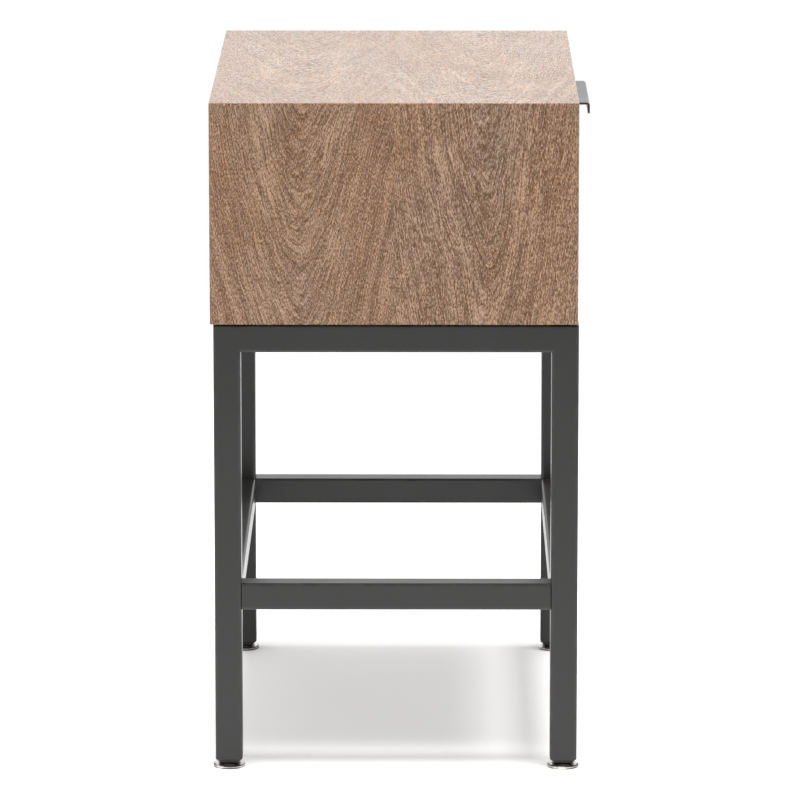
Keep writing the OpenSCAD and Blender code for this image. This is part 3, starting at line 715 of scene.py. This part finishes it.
def oak_veneer():
    """Flat-sawn oak veneer. In each leaf, a growth ring is where the distance from the leaf's
    heart line, less a taper times the distance along the grain, is the same: that draws nested
    arches. Flow is noise drawn out along the rings. Dashes are noise drawn out along the grain,
    and pores are its darkest ones, closest together where a ring starts. Beside each heart line
    are two paler flanks with a bolder flow. The coat is the thin lacquer, which sinks into the
    open early wood of each ring and stands full on the rest."""
    material, tree, shader = finish_named("oak_veneer", Specular_IOR_Level=0.25, Coat_Roughness=0.16)
    across, along, stack = split(tree, put(tree, "ShaderNodeAttribute", out=1, attribute_name="grain"))
    in_board = (across, along, stack)
    drift = streaks(tree, in_board, (7.0, 4.0, 5.3), 2.0)
    sway = times(tree, less(tree, drift, 0.5), 0.03)
    leaf = maths(tree, "FLOOR", maths(tree, "DIVIDE", across, LEAF_WIDTH))
    odd = maths(tree, "MODULO", maths(tree, "ABSOLUTE", leaf), 2.0)
    heart = times(tree, plus(tree, leaf, 0.5), LEAF_WIDTH)
    off = plus(tree, less(tree, across, heart), sway)
    blunt = scaled(tree, odd, 0.032, 0.013)
    taper = scaled(tree, odd, 0.2, 0.16)
    reach = maths(tree, "SQRT", plus(tree, times(tree, off, off), times(tree, blunt, blunt)))
    wobble = times(tree, streaks(tree, in_board, (55.0, 22.0, 3.1), 3.0), 0.005)
    ring_place = plus(tree, less(tree, reach, times(tree, along, taper)), wobble)
    year = times(tree, ring_place, 1 / RING_WIDTH)
    growth = maths(tree, "FRACT", year)
    growth_middle = less(tree, growth, 0.5)
    lot = plus(tree, times(tree, leaf, 7.3), times(tree, stack, 3.7))
    by_year = (plus(tree, times(tree, year, 0.3), lot), times(tree, year, 0.9))
    bold, clear = (put(tree, "ShaderNodeTexNoise", {"W": place, "Scale": 1.0}, noise_dimensions="1D")
                   for place in by_year)
    with_rings = (ring_place, along, plus(tree, off, lot))
    with_grain = (across, along, lot)
    flow = streaks(tree, with_rings, (1250.0, 32.0, 90.0), 2.0, 0.6)
    dash = streaks(tree, with_grain, (1450.0, 430.0, 1.0), 1.0)
    fine = streaks(tree, with_grain, (1500.0, 300.0, 1.0), 2.0, 0.7)
    ripple = streaks(tree, with_grain, (210.0, 190.0, 1.0), 2.0, 0.6)
    blotch = streaks(tree, in_board, (30.0, 14.0, 2.2), 3.0)
    pore_noise = streaks(tree, with_grain, (2000.0, 170.0, 1.0), 1.0)
    pore_start = scaled(tree, spread(tree, growth, 0.0, 0.5, 1.0, 0.0), 0.68, 0.57)
    pore = spread(tree, less(tree, pore_noise, pore_start), 0.0, 0.05)
    off_flank = maths(tree, "ABSOLUTE", less(tree, maths(tree, "ABSOLUTE", off), FLANK_PLACE))
    flank = times(tree, spread(tree, off_flank, FLANK_REACH, 0.0), spread(tree, blotch, 0.45, 0.62))
    tone = times(tree, less(tree, flow, 0.5), scaled(tree, flank, 1.35, 2.4))
    tone = plus(tree, tone, scaled(tree, flank, 0.0, 0.12))
    fleck = spread(tree, dash, 0.42, 0.58)
    for part, size in ((fleck, 0.5), (fine, 3.1), (ripple, 0.25), (blotch, 0.5), (bold, 0.55)):
        tone = plus(tree, tone, scaled(tree, part, -size / 2, size / 2))
    ring = times(tree, growth_middle, scaled(tree, spread(tree, clear, 0.4, 0.75), 0.08, 0.5))
    tone = less(tree, plus(tree, tone, ring), times(tree, pore, 0.22))
    tone = put(tree, "ShaderNodeClamp", {0: plus(tree, tone, 0.5)})
    ramp = tree.nodes.new("ShaderNodeValToRGB")
    ramp.color_ramp.elements.new(0.5)
    for element, colour in zip(ramp.color_ramp.elements, OAK_COLOURS):
        element.color = shade(colour)
    tree.links.new(tone, ramp.inputs[0])
    warmth = spread(tree, streaks(tree, in_board, (9.0, 5.0, 8.1), 2.0), 0.35, 0.65)
    stain = blend_colour(tree, warmth, (0.95, 1.0, 1.03, 1.0), (1.04, 0.985, 0.9, 1.0))
    wood = blend_colour(tree, 1.0, ramp.outputs[0], stain, "MULTIPLY")
    smudge, _, edge, _ = marks(tree, 9.0, 1800.0)
    rubbed = blend_colour(tree, times(tree, edge, 0.55), wood, (0.42, 0.28, 0.19, 1.0))
    gloss = plus(tree, scaled(tree, smudge, 0.17, 0.26), times(tree, pore, 0.2))
    colour_and_gloss(tree, shader, rubbed, plus(tree, gloss, times(tree, fine, 0.08)))
    film = spread(tree, streaks(tree, with_rings, (700.0, 150.0, 200.0), 2.0, 0.6), 0.45, 0.55, -0.5, 0.5)
    sunk = times(tree, growth_middle, scaled(tree, bold, 0.4, 1.2))
    uneven = spread(tree, drift, 0.44, 0.56, 0.8, 1.4)
    film = plus(tree, times(tree, plus(tree, film, sunk), uneven), FILM_MIDDLE)
    tree.links.new(put(tree, "ShaderNodeClamp", {0: film}), shader.inputs["Coat Weight"])
    raise_surface(tree, shader, less(tree, times(tree, tone, 0.5), pore), 0.0002, 0.9)
    return material


def veneered(name, node, outline, weight, start, stop, rule, body="table"):
    """A veneered board in place of a CAD board."""
    rings, mask = board_rings(np.asarray(outline, float), np.asarray(weight, float), start, stop)
    piece = shell(name, rings, veneer, mask[:, None])
    lay_grain(piece, rule)
    stands_for(piece, node, body)


veneer = oak_veneer()
JOINT_WEIGHT = 0.12
top_corner = (CASE_X - TOP_EDGE_R, CASE_TOP - TOP_EDGE_R, TOP_EDGE_R)
top_right = np.array(rounding(*top_corner, 90, 45, 4))
guard_x = CASE_X - TOP_EDGE_R - EDGE_GUARD
top_outline = np.concatenate([[[-guard_x, CASE_TOP], [guard_x, CASE_TOP]], top_right,
                              [[INNER_X, CASE_TOP - PANEL], [-INNER_X, CASE_TOP - PANEL]],
                              (top_right * [-1, 1])[::-1]])
top_weight = [1] * 5 + [JOINT_WEIGHT, 1, JOINT_WEIGHT] + [1] * 4
veneered("table_top", "top_panel", top_outline, top_weight, CASE_FRONT, CASE_BACK, top_rule)

side_outline = np.concatenate([[[INNER_X, CASE_FOOT], [CASE_X, CASE_FOOT],
                                [CASE_X, CASE_TOP - TOP_EDGE_R - EDGE_GUARD]],
                               rounding(*top_corner, 0, 45, 4), [[INNER_X, CASE_TOP - PANEL]]])
side_weight = [1] * 6 + [JOINT_WEIGHT, 1]
for side_name, sign in (("left", -1), ("right", 1)):
    veneered(f"case_side_{side_name}", f"side_panel_{side_name}", side_outline * [sign, 1], side_weight,
             CASE_FRONT, CASE_BACK, side_rule(sign > 0))

bottom_outline = [[-INNER_X, CASE_FOOT], [INNER_X, CASE_FOOT],
                  [INNER_X, CASE_FOOT + PANEL], [-INNER_X, CASE_FOOT + PANEL]]


def bottom_rule(point, normal):
    """Grain of the bottom: along X on its faces and its front edge."""
    face = looks_along(normal, 2)
    across = np.where(face, CASE_BACK - point[:, 1], LEAF_WIDTH * 0.05 + point[:, 2] - CASE_FOOT)
    return np.stack([across, point[:, 0] + CASE_X, np.where(face, 5.0, 6.0)], 1)


veneered("case_bottom", "bottom_panel", bottom_outline, [1, 0, 1, 0], CASE_FRONT, CASE_BACK, bottom_rule)

back_low, back_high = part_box("back_panel")
back_outline = [[back_low[0], back_low[2]], [back_high[0], back_low[2]],
                [back_high[0], back_high[2]], [back_low[0], back_high[2]]]
veneered("case_back", "back_panel", back_outline, [1, 1, 1, 1], back_low[1], back_high[1],
         lengthwise_rule(8))


# ---------- mitre tongues and dowels ----------
# Loose beech tongues key the mitres and beech dowels pin the bottom and the drawer
# box. They are glued in and show only when the table is taken apart.


def wood_tone(tree, parts, wave, finer, pore_share, pore_roughness):
    """Noise drawn out along the grain, mixed with pores that are a number of times finer, and
    spread over 0..1. wave holds the waves per metre along X, Y and Z."""
    figure = times(tree, streaks(tree, parts, wave, 4.0, 0.6), 1.0 - pore_share)
    pores = streaks(tree, parts, [w * finer for w in wave], 2.0, pore_roughness)
    return spread(tree, plus(tree, figure, times(tree, pores, pore_share)), 0.36, 0.64)


def plain_wood(name, dark, pale, wave):
    """Light plain wood: a streaked tone between two colours, with a cloud over it."""
    material, tree, shader = finish_named(name)
    parts = split(tree, put(tree, "ShaderNodeTexCoord", out=3))
    tone = wood_tone(tree, parts, wave, 9.0, 0.3, 0.6)
    cloud = blend_colour(tree, marks(tree, 7.0, 1200.0)[0], (0.9, 0.88, 0.86, 1.0), (1.06, 1.06, 1.06, 1.0))
    wood = blend_colour(tree, 1.0, blend_colour(tree, tone, shade(dark), shade(pale)), cloud, "MULTIPLY")
    colour_and_gloss(tree, shader, wood, scaled(tree, tone, 0.5, 0.38))
    raise_surface(tree, shader, tone, 0.00008, 0.4)
    return material


beech = plain_wood("beech", (0.46, 0.28, 0.15), (0.62, 0.42, 0.25), (40.0, 400.0, 400.0))
for node in ("mitre_splines", "case_dowels", "drawer_dowels"):
    dress(node, beech)


# ---------- drawer slides ----------
# A pair of 300 mm full-extension ball-bearing slides of zinc-plated rolled steel. Each
# has a case, a middle and a drawer member, and two rows of balls in a thin cage between
# each two members. Countersunk screws hold them.


def eased_copy(node, name, ease, material, body):
    """A piece from a CAD node's own shape: its triangles are merged into clean flat faces, and
    its sharp edges are eased with a bevel."""
    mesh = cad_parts[node].data.copy()
    mesh.name = name
    work = bmesh.new()
    work.from_mesh(mesh)
    bmesh.ops.remove_doubles(work, verts=work.verts, dist=1e-6)
    bmesh.ops.dissolve_limit(work, angle_limit=np.radians(1.0), verts=work.verts, edges=work.edges)
    work.to_mesh(mesh)
    work.free()
    mesh.materials.clear()
    mesh.materials.append(material)
    piece = bpy.data.objects.new(name, mesh)
    bpy.context.collection.objects.link(piece)
    mesh.shade_smooth()
    mesh.set_sharp_from_angle(angle=np.radians(30))
    bevel = piece.modifiers.new("eased_edges", "BEVEL")
    bevel.width = ease
    bevel.segments = 3
    bevel.limit_method = "ANGLE"
    bevel.angle_limit = np.radians(40)
    bevel.harden_normals = True
    stands_for(piece, node, body)


SLIDE_EASE = 0.0003
cage_plastic = moulded_plastic("cage_plastic", (0.7, 0.67, 0.6), 0.5)
ball_steel = plain_metal("ball_steel", (0.68, 0.68, 0.7), 0.18)
BALL_ROUND = 14
BALL_RINGS = 9
BALLS_IN_ROW = 8


def balls(node, body):
    """Ball bearings: a sphere's grid of latitude and longitude, set at evenly spaced places in
    an upper and a lower row. Small caps close each sphere's poles."""
    low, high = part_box(node)
    radius = (high[0] - low[0]) / 2
    latitude = np.radians(np.linspace(-84, 84, BALL_RINGS))[:, None]
    longitude = np.linspace(0, 2 * np.pi, BALL_ROUND, endpoint=False)
    sphere = np.stack([np.cos(latitude) * np.cos(longitude), np.cos(latitude) * np.sin(longitude),
                       np.sin(latitude) + 0 * longitude], -1).reshape(-1, 3) * radius
    ys = np.linspace(low[1] + radius, high[1] - radius, BALLS_IN_ROW)
    centres = np.array([(low[0] + radius, y, z) for z in (low[2] + radius, high[2] - radius) for y in ys])
    steps = (np.arange(len(centres)) * len(sphere))[:, None, None]
    quads = ring_faces(BALL_RINGS, BALL_ROUND)
    pole = np.arange(BALL_ROUND)
    caps = np.stack([pole[::-1], pole + len(sphere) - BALL_ROUND])
    faces = (quads + steps).reshape(-1, 4).tolist() + (caps + steps).reshape(-1, BALL_ROUND).tolist()
    piece = mesh_object(f"{node}_set", (centres[:, None] + sphere).reshape(-1, 3), faces, ball_steel)
    piece.data.shade_smooth()
    stands_for(piece, node, body)


for side_name in SIDES:
    for member, place, body in (("case", "outer", "table"),
                                ("middle", "middle", f"slide_middle_{side_name}"),
                                ("drawer", "inner", "drawer")):
        eased_copy(f"slide_{member}_member_{side_name}", f"slide_{place}_{side_name}", SLIDE_EASE, zinc,
                   body)
    for run in ("outer", "inner"):
        dress(f"{run}_cage_{side_name}", cage_plastic)
        balls(f"{run}_balls_{side_name}", f"{run}_cage_{side_name}")
dress("slide_case_screws", zinc)
dress("slide_drawer_screws", zinc)


# ---------- drawer front ----------
# An 18 mm veneered board, inset between the side panels with its grain from side to
# side. A shallow notch in its top edge takes the pull's flat.

front_low, front_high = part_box("drawer_front")
pull_low, pull_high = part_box("drawer_pull")
PULL_SHEET = 0.002
NOTCH_X = pull_high[0] + 0.0003
notch_z = front_high[2] - PULL_SHEET
front_outline = [[front_low[0], front_low[2]], [front_high[0], front_low[2]],
                 [front_high[0], front_high[2]], [NOTCH_X, front_high[2]], [NOTCH_X, notch_z],
                 [-NOTCH_X, notch_z], [-NOTCH_X, front_high[2]], [front_low[0], front_high[2]]]
veneered("drawer_face", "drawer_front", front_outline, [1, 1, 1, 0.4, 0.2, 0.4, 1, 1],
         front_low[1], front_high[1], lengthwise_rule(11), "drawer")


# ---------- drawer box ----------
# Four 12 mm birch plywood walls, dowelled at the corners, and a 6 mm plywood bottom in
# a groove. All of it is clear lacquered, with eased top edges.

PLY_LAYER = 0.0014


def birch_ply(name, wave, thickness_axis):
    """Birch plywood: pale wood streaked along the grain on its faces, and on its edges thin
    layers that are light and dark by turns through the thickness."""
    material, tree, shader = finish_named(name)
    parts = split(tree, put(tree, "ShaderNodeTexCoord", out=3))
    tone = wood_tone(tree, parts, wave, 8.0, 0.35, 0.5)
    face_wood = blend_colour(tree, tone, (0.43, 0.315, 0.2, 1.0), (0.6, 0.475, 0.325, 1.0))
    layer = maths(tree, "FRACT", maths(tree, "DIVIDE", parts[thickness_axis], PLY_LAYER * 2))
    cross = spread(tree, maths(tree, "PINGPONG", layer, 0.5), 0.22, 0.28)
    edge_wood = blend_colour(tree, cross, (0.34, 0.215, 0.12, 1.0), (0.56, 0.42, 0.27, 1.0))
    normal = split(tree, put(tree, "ShaderNodeNewGeometry", out=1))
    facing = maths(tree, "ABSOLUTE", normal[thickness_axis])
    wood = blend_colour(tree, spread(tree, facing, 0.9, 0.6), face_wood, edge_wood)
    cloud = blend_colour(tree, marks(tree, 8.0, 1300.0)[0], (0.92, 0.9, 0.87, 1.0), (1.05, 1.05, 1.05, 1.0))
    wood = blend_colour(tree, 1.0, wood, cloud, "MULTIPLY")
    colour_and_gloss(tree, shader, wood, scaled(tree, tone, 0.46, 0.34))
    raise_surface(tree, shader, tone, 0.00007, 0.4)
    return material


ply_side = birch_ply("birch_ply_side", (260.0, 14.0, 160.0), 0)
ply_cross = birch_ply("birch_ply_cross", (14.0, 260.0, 160.0), 1)
ply_bottom = birch_ply("birch_ply_bottom", (14.0, 160.0, 260.0), 2)
PLY_EASE = 0.0009
for node, material in (("drawer_side_left", ply_side), ("drawer_side_right", ply_side),
                       ("drawer_box_front", ply_cross), ("drawer_box_back", ply_cross),
                       ("drawer_bottom", ply_bottom)):
    eased_copy(node, f"{node}_board", PLY_EASE, material, "drawer")


# ---------- edge pull ----------
# One strip of 2 mm steel sheet, bent over the drawer front's top edge with a lip in front
# and a leg behind, and powder coated black.

LIP_HEIGHT = 0.0104
BEND_R = 0.003
BEND_GUARD = 0.001
INSIDE_R = 0.0002
PULL_EASE = 0.00035
END_GUARD = 0.002


def pull_outline():
    """Outline of the bent strip in Y and Z: down the outside of the lip, over the flat and
    down the leg, and back along the inside, with both bends as arcs."""
    front, back, foot = pull_low[1], pull_high[1], pull_low[2]
    top = pull_high[2]
    lip_foot = top - LIP_HEIGHT
    under = top - PULL_SHEET
    past = BEND_R + BEND_GUARD
    ease = PULL_EASE
    return np.concatenate([[[front + ease, lip_foot], [front, lip_foot + ease], [front, top - past]],
                           rounding(front + BEND_R, top - BEND_R, BEND_R, 180, 90, 9),
                           [[front + past, top], [back - past, top]],
                           rounding(back - BEND_R, top - BEND_R, BEND_R, 90, 0, 9),
                           [[back, foot + ease], [back - ease, foot],
                            [back - PULL_SHEET + ease, foot], [back - PULL_SHEET, foot + ease]],
                           rounding(back - PULL_SHEET - INSIDE_R, under - INSIDE_R, INSIDE_R, 0, 90, 3),
                           [[front + past, under]],
                           rounding(front + BEND_R, top - BEND_R, BEND_R - PULL_SHEET, 90, 180, 7),
                           [[front + PULL_SHEET, lip_foot + ease], [front + PULL_SHEET - ease, lip_foot]]])


def strip_rings(outline, start, stop):
    """Rings of a strip: an outline in Y and Z carried along X, drawn in a little at each end."""
    turn = np.radians(np.linspace(0, 90, 4))
    weight = np.ones(len(outline))
    ends = [(PULL_EASE * (1 - np.sin(a)), PULL_EASE * (1 - np.cos(a))) for a in turn] + [(0.0, END_GUARD)]
    mask = [0.8] * len(turn) + [0.0]
    low = [np.insert(inset(outline, d, weight), 0, start + w, axis=1) for d, w in ends]
    high = [np.insert(inset(outline, d, weight), 0, stop - w, axis=1) for d, w in ends[::-1]]
    return np.array(low + high), np.array(mask + mask[::-1])


pull_coat = powder_coat("black_powder_coat", (0.008, 0.008, 0.0075), (0.014, 0.014, 0.013),
                        gloss=0.22, peel=900.0, sheen=0.32)
rings, mask = strip_rings(pull_outline(), pull_low[0], pull_high[0])
pull = shell("edge_pull", rings, pull_coat, mask[:, None])
stands_for(pull, "drawer_pull", "drawer")


# ---------- drawer screws and bumpers ----------
# Zinc-plated pan-head screws hold the drawer front to the box and the pull to the
# front. Two soft rubber buttons meet the back panel when the drawer shuts.

SCREW_ROUND = 48
RECESS_HALF = 0.13
RECESS_REACH = 0.56
RECESS_DEPTH = 0.6


def screw_rings(head_r, shank_r, head_h, length):
    """Rings of a pan-head screw with its head up at z = 0..head_h and its point below. Inside
    the cross recess the head's domed top is lowered, by a smooth mask of the distance to the
    nearer arm. The recess's sizes are shares of the head's."""
    angle = np.linspace(0, 2 * np.pi, SCREW_ROUND, endpoint=False)
    profile = [(0.0002, -length), (shank_r, -length + 0.002), (shank_r, -0.0001), (head_r - 0.0002, 0.0),
               (head_r, 0.0003), (head_r, head_h * 0.45)]
    dome = [(head_r * s, head_h * (1 - 0.55 * s ** 4)) for s in np.linspace(0.94, 0.04, 22)]
    r, z = (np.array(values)[:, None] for values in zip(*(profile + dome)))
    x, y = r * np.cos(angle), r * np.sin(angle)
    arm = np.minimum(np.abs(x), np.abs(y))
    narrow = np.clip((head_r * RECESS_HALF - arm) / (head_r * 0.05), 0.0, 1.0)
    far = np.maximum(np.abs(x), np.abs(y))
    short = np.clip((head_r * RECESS_REACH - far) / (head_r * 0.1), 0.0, 1.0)
    on_dome = np.arange(len(r))[:, None] >= len(profile)
    sunk = np.where(on_dome, narrow * short, 0.0) * head_h * RECESS_DEPTH
    return np.stack([x, y, z - sunk], -1)


def screws(node, rows, head_r, shank_r, head_h, length):
    """Rows of two pan-head screws at the ends of a CAD node's box, with their heads towards
    +Y: a screw's own z becomes Y. rows holds each row's share of the way up the box."""
    low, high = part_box(node)
    own = screw_rings(head_r, shank_r, head_h, length)[..., [0, 2, 1]] * [1, 1, -1]
    way_up = high[2] - low[2] - 2 * head_r
    places = [(x, high[1] - head_h, low[2] + head_r + share * way_up)
              for x in (low[0] + head_r, high[0] - head_r) for share in rows]
    for number, place in enumerate(places):
        piece = shell(f"{node}_{number + 1}", own + place, zinc)
        stands_for(piece, node, "drawer")


screws("drawer_front_screws", rows=(0, 1), head_r=0.004, shank_r=0.002, head_h=0.0025, length=0.025)
screws("pull_screws", rows=(0.5,), head_r=0.003, shank_r=0.0015, head_h=0.0016, length=0.012)

BUMPER_ROUND = 40
BUMPER_BEND = 0.0012
rubber = moulded_plastic("bumper_rubber", (0.02, 0.02, 0.02), 0.6)
low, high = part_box("drawer_bumpers")
radius = (high[2] - low[2]) / 2
thick = high[1] - low[1]
button = [(radius - 0.0003, 0.0), (radius, 0.0003), (radius, thick * 0.4)]
button += rounding(radius - BUMPER_BEND, thick - BUMPER_BEND, BUMPER_BEND, 0, 90)
button += [(radius * 0.4, thick)]
angle = np.linspace(0, 2 * np.pi, BUMPER_ROUND, endpoint=False)
for number, x in enumerate((low[0] + radius, high[0] - radius)):
    circles = [round_points(r, angle) + (x, low[2] + radius) for r, _ in button]
    rings = [np.insert(circle, 1, low[1] + y, axis=1) for circle, (_, y) in zip(circles, button)]
    bumper = shell(f"drawer_bumper_{number + 1}", rings, rubber)
    stands_for(bumper, "drawer_bumpers", "drawer")
